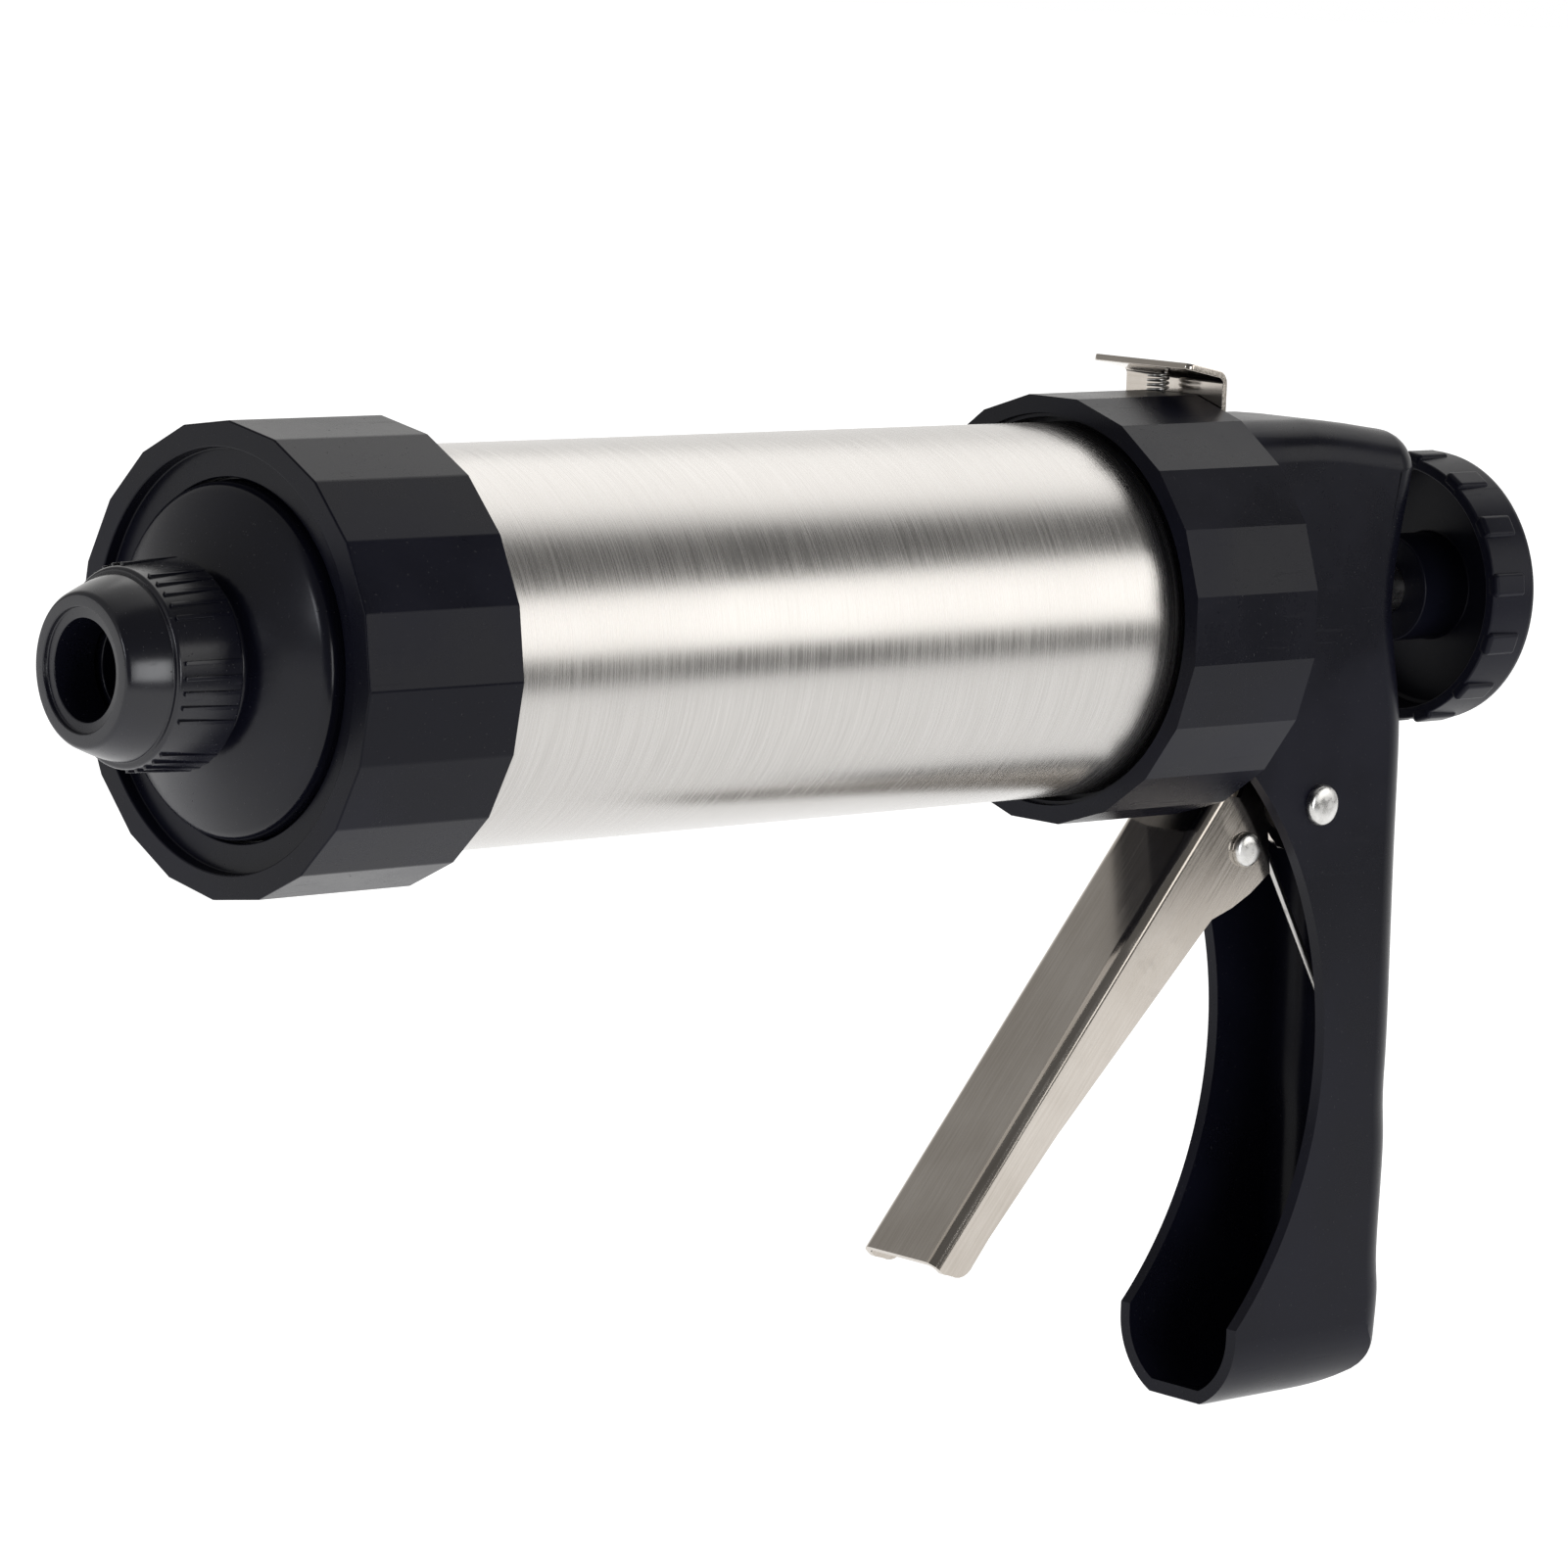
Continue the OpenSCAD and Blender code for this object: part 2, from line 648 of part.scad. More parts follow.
module drive_pawl() {
    tip_z = -tooth_crest - tooth_gap - 0.1;
    color(stainless) difference() {
        across(9) union() {
            translate(pawl_pivot) circle(r = 3.2, $fn = 48);
            polygon([
                pawl_pivot + [-3.1, -0.6], pawl_pivot + [2.6, 1.9],
                [pawl_pivot[0] - 1.5, tip_z - 3.6], [pawl_pivot[0] - 6.5, tip_z], [pawl_pivot[0] - 7.6, tip_z]
            ]);
        }
        pin_across(pawl_pivot, 12, 1.5 + pin_clearance);
    }
}

module pawl_pin() {
    color(bright_steel) rivet(pawl_pivot, trigger_width, 1.5, 2.4, 0.9);
}

module pawl_spring() {
    wire = 0.3;
    mean_r = 2.1;
    pitch = 0.66;
    coil_y = trigger_width / 2 - sheet - 0.5;
    pawl_slope = 124;
    turns = 2 + (pawl_slope - 90) / 360;
    leg_start = pawl_pivot + mean_r * rotate_2d([1, 0], pawl_slope - 90);
    color(stainless) union() {
        translate([pawl_pivot[0], coil_y, pawl_pivot[1]]) rotate([90, 0, 0])
            helix_wire(mean_r, wire, pitch, turns);
        wire_leg(pawl_pivot + [mean_r, 0], pawl_pivot + [mean_r, -7], coil_y, wire);
        wire_leg(leg_start, leg_start + 6 * rotate_2d([1, 0], pawl_slope), coil_y - pitch * turns, wire);
    }
}

nozzle_nut();
cone_plate();
front_ring();
plate_gasket();
barrel();
handle_body();
plunger_plate();
plunger_seal();
plunger_nut();
push_rod();
front_bush();
rear_bush();
knob();
knob_screw();
catch_plate();
catch_spring();
trigger_lever();
pivot_rivet();
pivot_washers();
stop_rivet();
return_spring();
drive_pawl();
pawl_pin();
pawl_spring();
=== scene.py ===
from math import atan2, cos, degrees, floor, pi, radians, sin, tan
import bpy
from mathutils import Matrix, Vector


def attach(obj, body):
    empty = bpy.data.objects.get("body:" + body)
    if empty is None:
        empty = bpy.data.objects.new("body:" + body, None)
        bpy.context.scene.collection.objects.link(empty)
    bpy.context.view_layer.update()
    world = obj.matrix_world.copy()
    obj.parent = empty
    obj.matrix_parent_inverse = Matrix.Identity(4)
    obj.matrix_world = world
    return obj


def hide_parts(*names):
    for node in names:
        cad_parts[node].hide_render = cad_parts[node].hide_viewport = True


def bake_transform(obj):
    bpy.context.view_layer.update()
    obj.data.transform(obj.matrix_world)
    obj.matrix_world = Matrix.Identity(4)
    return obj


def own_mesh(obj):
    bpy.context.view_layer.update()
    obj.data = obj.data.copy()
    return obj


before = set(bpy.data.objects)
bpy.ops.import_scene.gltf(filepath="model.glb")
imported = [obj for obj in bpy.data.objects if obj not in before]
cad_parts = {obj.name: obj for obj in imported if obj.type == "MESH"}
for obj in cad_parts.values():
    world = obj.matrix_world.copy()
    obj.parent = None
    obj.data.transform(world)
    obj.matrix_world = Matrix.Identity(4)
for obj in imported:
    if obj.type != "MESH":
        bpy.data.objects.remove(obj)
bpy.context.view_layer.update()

mm = 0.001


# ---------------------------------------------------------------------------------------------
# Camera. A long lens held a little above the barrel, in front of the nozzle and on the trigger's
# left, leaning by two degrees.
def put_camera():
    azimuth, elevation, lean = radians(-42.31), radians(7.87), radians(2.16)
    aim, distance = Vector((102.82, 0, -23.22)), 899.03
    back = Vector((sin(azimuth) * cos(elevation), -cos(azimuth) * cos(elevation), sin(elevation)))
    right = Vector((0, 0, 1)).cross(back).normalized()
    up = back.cross(right)
    right, up = right * cos(lean) + up * sin(lean), up * cos(lean) - right * sin(lean)
    bpy.ops.object.camera_add()
    camera = bpy.context.object
    camera.data.lens = 141.9
    camera.data.sensor_width = 36
    camera.data.clip_start, camera.data.clip_end = 0.05, 20
    turn = Matrix((right, up, back)).transposed().to_4x4()
    camera.matrix_world = Matrix.Translation(aim * mm + back * distance * mm) @ turn
    bpy.context.scene.camera = camera


put_camera()


# ---------------------------------------------------------------------------------------------
# Front ring. A black injection-moulded ring with twenty flats, screwed on the barrel's front end.
# Its face is stepped back inside the rim, and a lip round the hole holds the domed cone plate.
def clear_selection():
    if bpy.context.object and bpy.context.object.mode != "OBJECT":
        bpy.ops.object.mode_set(mode="OBJECT")
    bpy.ops.object.select_all(action="DESELECT")


def pick(piece):
    """Makes a piece the only selected one."""
    clear_selection()
    piece.select_set(True)
    bpy.context.view_layer.objects.active = piece


def settle(piece):
    """Puts a piece's place and turn into its mesh."""
    pick(piece)
    bpy.ops.object.transform_apply(location=True, rotation=True, scale=True)


def merged(piece):
    """Joins points that lie together and turns every face outwards."""
    pick(piece)
    bpy.ops.object.mode_set(mode="EDIT")
    bpy.ops.mesh.select_all(action="SELECT")
    bpy.ops.mesh.remove_doubles(threshold=0.00001)
    bpy.ops.mesh.normals_make_consistent(inside=False)
    bpy.ops.object.mode_set(mode="OBJECT")


def lathed(name, profile, steps, fill):
    """A ring of points pulled along a profile of (x, radius), as on a lathe."""
    clear_selection()
    x, r = profile[0]
    bpy.ops.mesh.primitive_circle_add(vertices=steps, radius=r * mm, location=(x * mm, 0, 0),
                                      rotation=(0, pi / 2, 0), fill_type=fill)
    piece = bpy.context.object
    piece.name = name
    settle(piece)
    bpy.ops.object.mode_set(mode="EDIT")
    bpy.ops.mesh.select_all(action="SELECT")
    for (x0, r0), (x1, r1) in zip(profile, profile[1:]):
        bpy.ops.mesh.extrude_region_move(TRANSFORM_OT_translate={"value": ((x1 - x0) * mm, 0, 0)})
        bpy.ops.transform.resize(value=(1, r1 / r0, r1 / r0), center_override=(x1 * mm, 0, 0))
    bpy.ops.object.mode_set(mode="OBJECT")
    merged(piece)
    return piece


def turned(name, profile, steps=144):
    """A turned piece with a hole through it: its profile closes on itself."""
    return lathed(name, profile + profile[:1], steps, "NOTHING")


def plug(name, profile, steps=144):
    """A turned solid with no hole, for cutting or for round heads."""
    tip_r = 0.05
    return lathed(name, [(profile[0][0], tip_r)] + profile + [(profile[-1][0], tip_r)], steps, "NGON")


def block(x, z, size):
    """A box on the plane through the barrel's axis."""
    clear_selection()
    bpy.ops.mesh.primitive_cube_add(size=1, location=(x * mm, 0, z * mm),
                                    scale=tuple(side * mm for side in size))
    piece = bpy.context.object
    settle(piece)
    return piece


def bar_across(x, z, r, steps):
    """A round bar across the barrel's axis, for cutting."""
    clear_selection()
    bpy.ops.mesh.primitive_cylinder_add(vertices=steps, radius=r * mm, depth=40 * mm,
                                        location=(x * mm, 0, z * mm), rotation=(pi / 2, 0, 0))
    piece = bpy.context.object
    settle(piece)
    return piece


def prism(name, flats, x0, x1, front_r, rear_r, lean):
    """A bar with flat sides along the barrel axis, a little wider at one end."""
    clear_selection()
    bpy.ops.mesh.primitive_cylinder_add(vertices=flats, radius=front_r * mm, depth=(x1 - x0) * mm,
                                        location=((x0 + x1) / 2 * mm, 0, 0), rotation=(0, pi / 2, 0))
    piece = bpy.context.object
    piece.name = name
    settle(piece)
    piece.rotation_euler = (radians(lean), 0, 0)
    settle(piece)
    bpy.ops.object.mode_set(mode="EDIT")
    bpy.ops.mesh.select_all(action="DESELECT")
    bpy.ops.object.mode_set(mode="OBJECT")
    for v in piece.data.vertices:
        v.select = v.co.x > (x0 + x1) / 2 * mm
    bpy.ops.object.mode_set(mode="EDIT")
    bpy.ops.transform.resize(value=(1, rear_r / front_r, rear_r / front_r),
                             center_override=(x1 * mm, 0, 0))
    bpy.ops.object.mode_set(mode="OBJECT")
    return piece


def cut(piece, tool, how="DIFFERENCE"):
    """Cuts one solid with another, which is then thrown away."""
    pick(piece)
    step = piece.modifiers.new("cut", "BOOLEAN")
    step.operation, step.solver, step.object = how, "EXACT", tool
    bpy.ops.object.modifier_apply(modifier=step.name)
    bpy.data.objects.remove(tool)


def soften(piece, width, rounds, sharper_than):
    """Rounds the edges that are sharper than an angle, and shades the rest smooth."""
    merged(piece)
    step = piece.modifiers.new("soften", "BEVEL")
    step.width, step.segments, step.limit_method = width * mm, rounds, "ANGLE"
    step.angle_limit, step.harden_normals = radians(sharper_than), False
    step.use_clamp_overlap = True
    bpy.ops.object.modifier_apply(modifier=step.name)
    bpy.ops.object.shade_smooth_by_angle(angle=radians(32))
    step = piece.modifiers.new("even", "WEIGHTED_NORMAL")
    step.keep_sharp, step.weight = True, 80
    bpy.ops.object.modifier_apply(modifier=step.name)


def joined(piece, *others):
    """Joins other pieces into the first one."""
    pick(piece)
    for other in others:
        other.select_set(True)
    bpy.ops.object.join()
    return piece


def round_edges(piece, wanted, r, rounds):
    """Rounds the edges whose two ends pass a test."""
    pick(piece)
    bpy.ops.object.mode_set(mode="EDIT")
    bpy.ops.mesh.select_mode(type="EDGE")
    bpy.ops.mesh.select_all(action="DESELECT")
    bpy.ops.object.mode_set(mode="OBJECT")
    for edge in piece.data.edges:
        edge.select = wanted(*(piece.data.vertices[i].co for i in edge.vertices))
    bpy.ops.object.mode_set(mode="EDIT")
    bpy.ops.mesh.bevel(offset=r * mm, segments=rounds, affect="EDGES")
    bpy.ops.mesh.select_mode(type="VERT")
    bpy.ops.object.mode_set(mode="OBJECT")


def level_at(a, b, y):
    """Whether both ends of an edge lie on the side faces y from the middle."""
    return abs(abs(a.y) - y * mm) < 0.01 * mm and abs(a.y - b.y) < 0.01 * mm


class Wire:
    """One output of a shader node, which can be used in sums."""

    def __init__(self, finish, socket):
        self.finish, self.socket = finish, socket

    def maths(self, operation, a, b):
        return self.finish.node("ShaderNodeMath", {"operation": operation}, {0: a, 1: b})

    def __add__(self, other): return self.maths("ADD", self, other)
    def __radd__(self, other): return self.maths("ADD", other, self)
    def __sub__(self, other): return self.maths("SUBTRACT", self, other)
    def __rsub__(self, other): return self.maths("SUBTRACT", other, self)
    def __mul__(self, other): return self.maths("MULTIPLY", self, other)
    def __rmul__(self, other): return self.maths("MULTIPLY", other, self)


class Finish:
    """A material being put together, node by node."""

    def __init__(self, name):
        self.material = bpy.data.materials.new(name)
        self.material.use_nodes = True
        self.tree = self.material.node_tree
        self.surface = self.tree.nodes["Principled BSDF"]

    def node(self, kind, settings=None, inputs=None, output=0):
        made = self.tree.nodes.new(kind)
        for key, value in (settings or {}).items():
            if key == "stops":
                ramp = made.color_ramp
                while len(ramp.elements) > 1:
                    ramp.elements.remove(ramp.elements[-1])
                ramp.elements[0].position = value[0][0]
                ramp.elements[0].color = value[0][1]
                for place, colour in value[1:]:
                    ramp.elements.new(place).color = colour
            else:
                setattr(made, key, value)
        for key, value in (inputs or {}).items():
            self.feed(made.inputs[key], value)
        return Wire(self, made.outputs[output])

    def feed(self, socket, value):
        if isinstance(value, Wire):
            self.tree.links.new(value.socket, socket)
        else:
            socket.default_value = value

    def set(self, **values):
        for key, value in values.items():
            self.feed(self.surface.inputs[key.replace("_", " ")], value)

    def place(self):
        return self.node("ShaderNodeTexCoord", output="Object")

    def noise(self, scale, detail=2.0, rough=0.5, where=None, stretch=None):
        where = where or self.place()
        if stretch:
            where = self.node("ShaderNodeMapping", inputs={"Vector": where, "Scale": stretch})
        return self.node("ShaderNodeTexNoise", inputs={"Vector": where, "Scale": scale,
                                                       "Detail": detail, "Roughness": rough})

    def band(self, value, low, high, to_low=0.0, to_high=1.0):
        return self.node("ShaderNodeMapRange", {"interpolation_type": "SMOOTHSTEP"},
                         {"Value": value, "From Min": low, "From Max": high,
                          "To Min": to_low, "To Max": to_high})

    def blend(self, amount, a, b):
        return self.node("ShaderNodeMix", {"data_type": "RGBA"}, {0: amount, 6: a, 7: b}, output=2)

    def bump(self, height, depth, strength=1.0, on=None):
        inputs = {"Height": height, "Strength": strength, "Distance": depth}
        if on:
            inputs["Normal"] = on
        return self.node("ShaderNodeBump", inputs=inputs)


deep_black = (0.0040, 0.0042, 0.0082)
soft_black = (0.0042, 0.0044, 0.0085)


def black_moulding(name, rough, shade=deep_black, scuffs=0.5, shine=0.13):
    """Glossy black ABS as it leaves the mould, with flow marks, dust and hairline scuffs."""
    f = Finish(name)
    cloudy = f.noise(45, 4)
    fine = f.noise(900, 3, 0.6)
    skin = f.noise(3800, 2)
    dust = f.band(f.noise(2600, 1, 0.3), 0.75, 0.775)
    scuff = f.band(f.noise(60, 6, 0.7, stretch=(1, 14, 14)), 0.60, 0.66)
    dark = (*shade, 1)
    paler = (shade[0] * 1.4, shade[1] * 1.4, shade[2] * 1.5, 1)
    colour = f.blend(f.band(cloudy, 0.35, 0.7), dark, paler)
    colour = f.blend(dust * 0.25, colour, (0.07, 0.07, 0.07, 1))
    f.set(Base_Color=colour,
          Roughness=(rough + 0.10 * f.band(cloudy, 0.3, 0.75) + 0.06 * fine + 0.10 * scuffs * scuff +
                     0.25 * dust),
          IOR=1.5, Specular_IOR_Level=shine,
          Normal=f.bump(dust, 0.00004, 0.4, on=f.bump(0.7 * fine + 0.3 * skin, 0.000012, 0.35)))
    return f.material


def fitted(piece, body, slot, material, *nodes):
    """Gives a finished piece its material and hangs it on its body in place of the nodes it stands for."""
    piece.data.materials.clear()
    piece.data.materials.append(material)
    for face in piece.data.polygons:
        face.material_index = 0
    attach(piece, body)
    if nodes:
        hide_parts(*nodes)


def front_ring():
    ring = prism("ring_moulding", 20, 0, 26.1, 32.45, 32.5, 0.8)
    cut(ring, plug("bore", [(-2, 28.7), (1.9, 28.7), (1.9, 24.6), (3.9, 24.6), (3.9, 28.23),
                            (24.4, 28.23), (25.6, 28.9), (28, 28.9)]))
    soften(ring, 0.4, 3, 12)
    fitted(ring, "front_ring", "black_plastic", black_moulding("ring_black", 0.20), "front_ring")


front_ring()


# ---------------------------------------------------------------------------------------------
# Cone plate. A black moulded dome that closes the barrel, with the threaded neck for the nozzle
# nut. A low step runs round the foot of the neck.
def cone_plate():
    neck = [(-14.7, 6.5), (-14.7, 9.7), (-14.2, 10.2), (-6.3, 10.2), (-6.3, 11.6), (-6.1, 12.0)]
    outside = [(-5.2, 12.1), (-4.8, 12.5), (-4.5, 13.4), (-3.9, 14.8), (-3.0, 17.0), (-1.9, 20.0),
               (-0.6, 22.8), (-0.2, 23.45), (0.3, 23.9), (1.1, 24.15)]
    flange = [(4.0, 24.15), (4.0, 27.9), (5.7, 27.9), (5.7, 21.5)]
    inside = [(2.3, 21.5), (-0.6, 17.5), (-2.8, 6.5)]
    dome = turned("cone_dome", neck + outside + flange + inside)
    soften(dome, 0.25, 3, 30)
    fitted(dome, "frame", "black_plastic", black_moulding("dome_black", 0.14, soft_black, 0.2, 0.26),
           "cone_plate")


cone_plate()


# ---------------------------------------------------------------------------------------------
# Nozzle nut. A small black moulding screwed on the neck: a ribbed collar for the fingers and a
# plain tapered nose with a shallow recess round the outlet.
def nozzle_nut():
    nose = [(-22.2, 6.9), (-22.2, 8.4), (-22.9, 8.4), (-22.9, 9.9), (-22.75, 10.3), (-22.3, 10.62),
            (-21.2, 11.1), (-20.0, 11.6), (-18.6, 12.1), (-17.3, 12.5), (-16.8, 12.55)]
    grip = [(-16.8, 13.2), (-16.5, 13.5), (-12.0, 13.85), (-7.0, 14.3), (-6.6, 13.9)]
    bore = [(-6.6, 10.3), (-15.6, 10.3), (-15.6, 6.9)]
    nut = turned("nozzle_moulding", nose + grip + bore)
    soften(nut, 0.18, 3, 30)
    groups, first_group, ribs_in_group, rib_step = 6, 98.4, 5, 8.5
    rib_x, rib_r, rib_size = -11.35, 13.64, (8.9, 0.62, 1.1)
    taper = radians(2.7)
    ribs = []
    for group in range(groups):
        for k in range(ribs_in_group):
            turn = first_group + 360 / groups * group + rib_step * (k - ribs_in_group // 2)
            rib = block(rib_x, rib_r, rib_size)
            # tilted with the grip's taper, and put back to where its middle was
            rib.rotation_euler = (0, -taper, 0)
            rib.location = ((rib_x * (1 - cos(taper)) + rib_r * sin(taper)) * mm, 0,
                            -rib_x * sin(taper) * mm)
            settle(rib)
            soften(rib, 0.10, 2, 30)
            rib.rotation_euler = (radians(turn), 0, 0)
            settle(rib)
            ribs.append(rib)
    joined(nut, *ribs)
    fitted(nut, "nozzle_nut", "black_plastic", black_moulding("nozzle_black", 0.16, soft_black, 0.6, 0.5),
           "nozzle_nut")


nozzle_nut()


# ---------------------------------------------------------------------------------------------
# Barrel. Thin stainless tube, brushed round and round with a belt, so the light spreads along it.
# Both cut ends are deburred.
def barrel():
    tube = turned("barrel_tube", [(7, 27.4), (7, 28.0), (7.15, 28.15), (176.65, 28.15), (176.8, 28.0),
                                  (176.8, 27.4)], 192)
    bpy.ops.object.shade_smooth_by_angle(angle=radians(32))
    f = Finish("barrel_steel")
    brush = f.noise(1.0, 3, 0.65, stretch=(4600, 60, 60))
    coarse = f.noise(1.0, 2, 0.5, stretch=(1300, 26, 26))
    cloud = f.noise(26, 3, 0.5, stretch=(1, 0.8, 0.8))
    wipe = f.band(f.noise(9, 3), 0.35, 0.7)
    colour = f.blend(f.band(brush, 0.3, 0.7), (0.48, 0.465, 0.447, 1), (0.56, 0.545, 0.527, 1))
    colour = f.blend(0.12 * f.band(coarse, 0.35, 0.68), colour, (0.52, 0.50, 0.48, 1))
    f.set(Base_Color=colour, Metallic=1.0,
          Roughness=0.18 + 0.07 * f.band(brush, 0.3, 0.7) + 0.04 * f.band(cloud, 0.3, 0.7) + 0.03 * wipe,
          Normal=f.bump(0.9 * brush + 0.1 * coarse, 0.00004, 0.4))
    fitted(tube, "frame", "brushed_barrel", f.material, "barrel")


barrel()


# ---------------------------------------------------------------------------------------------
# Handle. One black moulding: the twenty-sided rear collar, closed at its back, and the handle
# shell with walls about two millimetres thick. The shell is open where the fingers go in, and
# a slot in its top lets the release catch through.
def through(points, steps=5):
    """A smooth line through given points."""
    line = []
    ends = [points[0]] + list(points) + [points[-1]]
    for a, b, c, d in zip(ends, ends[1:], ends[2:], ends[3:]):
        for i in range(steps):
            t = i / steps
            line.append(tuple(0.5 * (2 * q + (r - p) * t + (2 * p - 5 * q + 4 * r - s) * t * t +
                                     (3 * q - p - 3 * r + s) * t ** 3) for p, q, r, s in zip(a, b, c, d)))
    return line + [points[-1]]


def arc(centre, r, start, end, steps):
    """Points round an arc, its start and end given in degrees."""
    return [(centre[0] + r * cos(radians(start + (end - start) * i / steps)),
             centre[1] + r * sin(radians(start + (end - start) * i / steps))) for i in range(steps + 1)]


def drawn(name, points, start, end, plane="XZ"):
    """An outline drawn point by point, filled, and pulled out to its thickness."""
    def spot(point):
        place = (point[0], start, point[1]) if plane == "XZ" else (start, point[0], point[1])
        return Vector(place) * mm

    clear_selection()
    bpy.ops.mesh.primitive_plane_add(size=mm, location=spot(points[0]))
    piece = bpy.context.object
    piece.name = name
    settle(piece)
    bpy.ops.object.mode_set(mode="EDIT")
    bpy.ops.mesh.select_all(action="SELECT")
    bpy.ops.mesh.merge(type="CENTER")
    for a, b in zip(points, points[1:]):
        bpy.ops.mesh.extrude_region_move(TRANSFORM_OT_translate={"value": spot(b) - spot(a)})
    bpy.ops.mesh.select_all(action="SELECT")
    bpy.ops.mesh.edge_face_add()
    pull = (end - start) * mm
    bpy.ops.mesh.extrude_region_move(
        TRANSFORM_OT_translate={"value": (0, pull, 0) if plane == "XZ" else (pull, 0, 0)})
    bpy.ops.object.mode_set(mode="OBJECT")
    merged(piece)
    return piece


def drawn_in(points, wall):
    """The same closed outline, moved in by the wall's thickness."""
    inner = []
    for a, b, c in zip(points[-1:] + points[:-1], points, points[1:] + points[:1]):
        one = Vector((b[0] - a[0], b[1] - a[1])).normalized()
        two = Vector((c[0] - b[0], c[1] - b[1])).normalized()
        side = Vector((one.y + two.y, -one.x - two.x)).normalized()
        reach = wall / max(0.5, side.dot(Vector((one.y, -one.x))))
        inner.append((b[0] + side.x * reach, b[1] + side.y * reach))
    return inner


def round_over(piece, y, r, rounds):
    """Rounds the long edges where a side face meets the top, the back and the bottom."""
    front = min(v.co.x for v in piece.data.vertices)
    round_edges(piece, lambda a, b: level_at(a, b, y) and max(a.x, b.x) > front + 0.1 * mm, r, rounds)
    merged(piece)


pivot = (203.8, -31.4)


def handle():
    back = through([(224.4, 16.5), (223.2, 11), (222.2, 5), (221.8, -1.5), (222.8, -8), (224.2, -15),
                    (225.0, -22), (225.2, -41), (225.7, -68), (225.6, -79), (226.2, -88), (225.9, -104),
                    (226.5, -111), (226.2, -117)])
    corner = 6.6
    side = ([(176.8, 28.2), (200.5, 28.2), (206, 27.8), (211.4, 27.2), (215, 26.7)] +
            arc((218.4, 19.6), corner, 80, 8, 8) + back +
            arc((219.5, -118.2), corner, 0, -80, 8) + [(213, -127.0), (205.5, -128.2), (198, -127.9),
                                                       (188, -125.8), (176.8, -123)])
    half, inner_half, wall, toe_z = 12.6, 10.6, 2.0, -115
    wide = [(30, toe_z), (30, 40), (-30, 40), (-30, toe_z)]
    shell = drawn("handle_moulding", side, -half, half)
    round_over(shell, half, 6.2, 8)
    toe = arc((0, toe_z), half, 180, 360, 48)
    cut(shell, drawn("toe_round", toe + wide, 170, 240, "YZ"), "INTERSECT")
    inside = drawn_in([(x if x > 180 else 160, z) for x, z in side], wall)
    hollow = drawn("hollow", inside, -inner_half, inner_half)
    round_over(hollow, inner_half, 4.2, 8)
    toe = arc((0, toe_z), inner_half, 180, 360, 48)
    cut(hollow, drawn("toe_hollow", toe + wide, 150, 240, "YZ"), "INTERSECT")
    cut(shell, hollow)
    # the curve that leaves room for the fingers
    cut(shell, bar_across(145, -70.5, 62.5, 300))
    cut(shell, drawn("front", [(150, 60), (150, -140), (178.8, -140), (178.8, 60)], -20, 20))
    cut(shell, drawn("toe", [(150, -60), (150, -140), (190.6, -140), (190.6, -60)], -20, 20))
    collar = prism("collar", 20, 154.3, 179.8, 32.45, 32.58, 9)
    cut(shell, collar, "UNION")
    cut(shell, plug("seat", [(150, 30.1), (155.3, 29.5), (155.3, 29.0), (159, 28.95), (159, 28.2),
                             (176.8, 28.2)]))
    cut(shell, plug("rod_way", [(170, 6), (230, 6)], 64))
    cut(shell, drawn("slot", [(179.8, 20), (181.4, 20), (181.4, 33), (179.8, 33)], -10.6, 10.6))
    cut(shell, bar_across(*pivot, 2, 48))
    soften(shell, 0.38, 3, 14)
    boss = turned("bush_boss", [(216.4, 6.02), (216.4, 9), (222, 9), (222, 6.02)], 64)
    soften(boss, 0.3, 2, 30)
    joined(shell, boss)
    fitted(shell, "frame", "black_plastic", black_moulding("handle_black", 0.22, scuffs=0.8), "handle_body")


handle()


# ---------------------------------------------------------------------------------------------
# Knob. A shallow black cup on the end of the rod, open towards the handle, with fourteen rounded
# grip pads round its rim. The hub in the middle takes the rod's end and its screw.
def knob():
    hub = [(230.2, 4.02), (230.2, 8.3), (230.4, 8.5), (240.2, 8.5), (240.4, 8.9)]
    rim = [(240.4, 18.6), (240.0, 19.2), (232.4, 19.2), (232.2, 19.4), (232.2, 20.8), (232.4, 21.0),
           (240.4, 21.5), (241.3, 21.3), (242.0, 20.7), (242.35, 19.6), (242.4, 18)]
    screw_seat = [(242.4, 3.2), (240.2, 3.2), (240.2, 1.7), (238.0, 1.7), (238.0, 4.02)]
    cup = turned("knob_moulding", hub + rim + screw_seat)
    soften(cup, 0.25, 3, 30)
    grip_pads, first_pad = 14, 0.25
    pads = []
    for k in range(grip_pads):
        pad = block(235.6, 20.7, (6.9, 3.8, 2.2))
        soften(pad, 0.75, 4, 30)
        pad.rotation_euler = (radians(360 / grip_pads * (k + first_pad)), 0, 0)
        settle(pad)
        pads.append(pad)
    joined(cup, *pads)
    fitted(cup, "plunger", "black_plastic", black_moulding("knob_black", 0.28, soft_black, 0.8), "knob")


knob()


# ---------------------------------------------------------------------------------------------
# Trigger. Stainless sheet one millimetre thick, blanked and folded to a channel, then polished
# along its length. The flanges deepen towards the pivot and carry the two upper ears.
trigger_foot = (129.0, -96.365)
trigger_slope = radians(49.8)


def at_trigger(s, n):
    """A point on the trigger: s up along its face, n back from it."""
    return (trigger_foot[0] + s * cos(trigger_slope) + n * sin(trigger_slope),
            trigger_foot[1] + s * sin(trigger_slope) - n * cos(trigger_slope))


